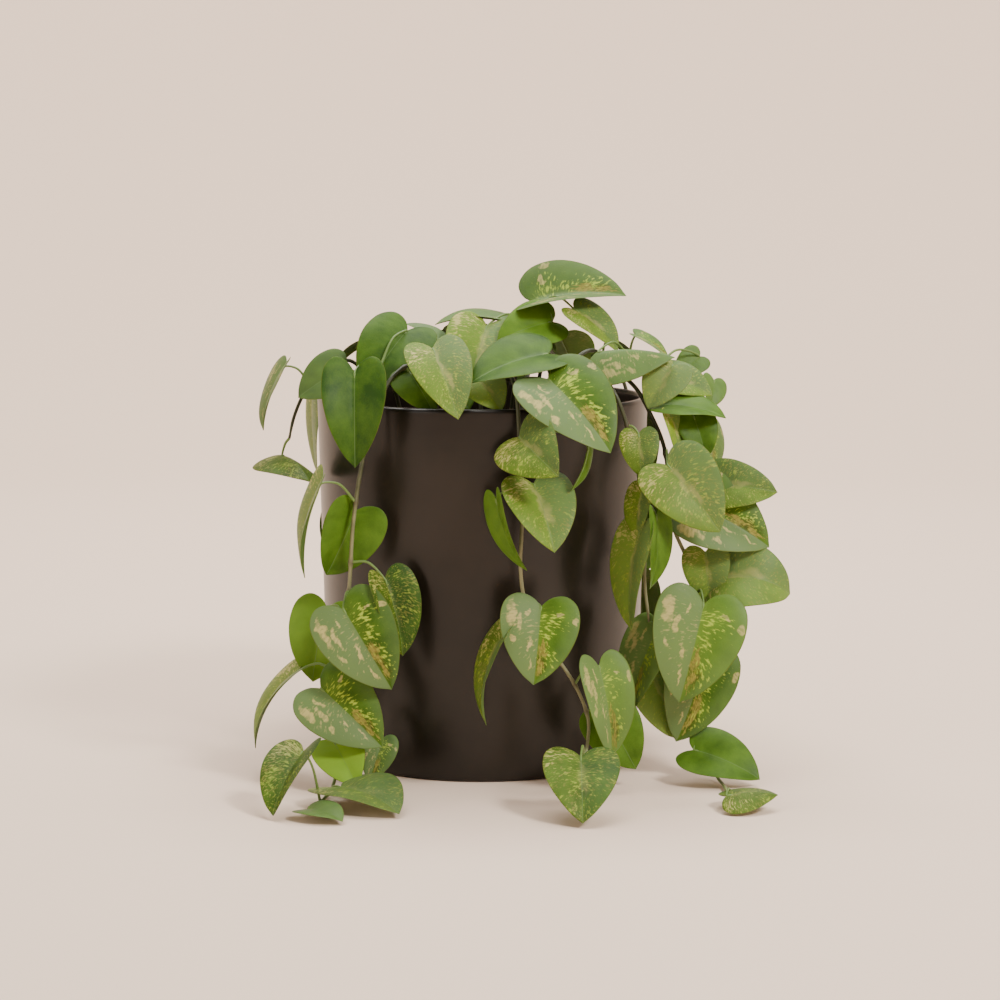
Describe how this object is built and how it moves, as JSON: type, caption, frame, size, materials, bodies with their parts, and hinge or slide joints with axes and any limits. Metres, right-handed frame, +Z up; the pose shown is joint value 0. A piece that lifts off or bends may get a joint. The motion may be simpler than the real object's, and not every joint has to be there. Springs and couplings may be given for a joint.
{
  "type": "potted pothos plant",
  "caption": "Trailing pothos in a plain round glazed pot: heart-shaped variegated leaves on stems that rise from soil, cross the rim and hang or lie along the surface.",
  "frame": {"origin": "centre of the pot's flat underside, on the surface that it stands on", "axes": "+Z up along the pot's axis, -Y towards the front of the plant, +X to the viewer's right"},
  "size_m": [0.4408, 0.4505, 0.4176],
  "materials": {
    "pot_glaze": "satin dark bronze-brown glaze",
    "potting_soil": "rough moist potting mix",
    "leaves_and_stems": "semi-gloss green leaf with cream flecks"
  },
  "bodies": {
    "root": {"pot": "pot_glaze", "soil": "potting_soil", "vine_left_trail": "leaves_and_stems", "vine_left_arch": "leaves_and_stems", "vine_left_crown": "leaves_and_stems", "vine_centre_crown": "leaves_and_stems", "vine_top_back": "leaves_and_stems", "vine_middle_trail": "leaves_and_stems", "vine_middle_crown": "leaves_and_stems", "vine_right_front": "leaves_and_stems", "vine_right_trail": "leaves_and_stems", "vine_right_high": "leaves_and_stems", "vine_right_out": "leaves_and_stems", "vine_left_side": "leaves_and_stems", "vine_back_left": "leaves_and_stems", "vine_back_middle": "leaves_and_stems", "vine_back_right": "leaves_and_stems", "vine_right_side": "leaves_and_stems"}
  },
  "joints": []
}
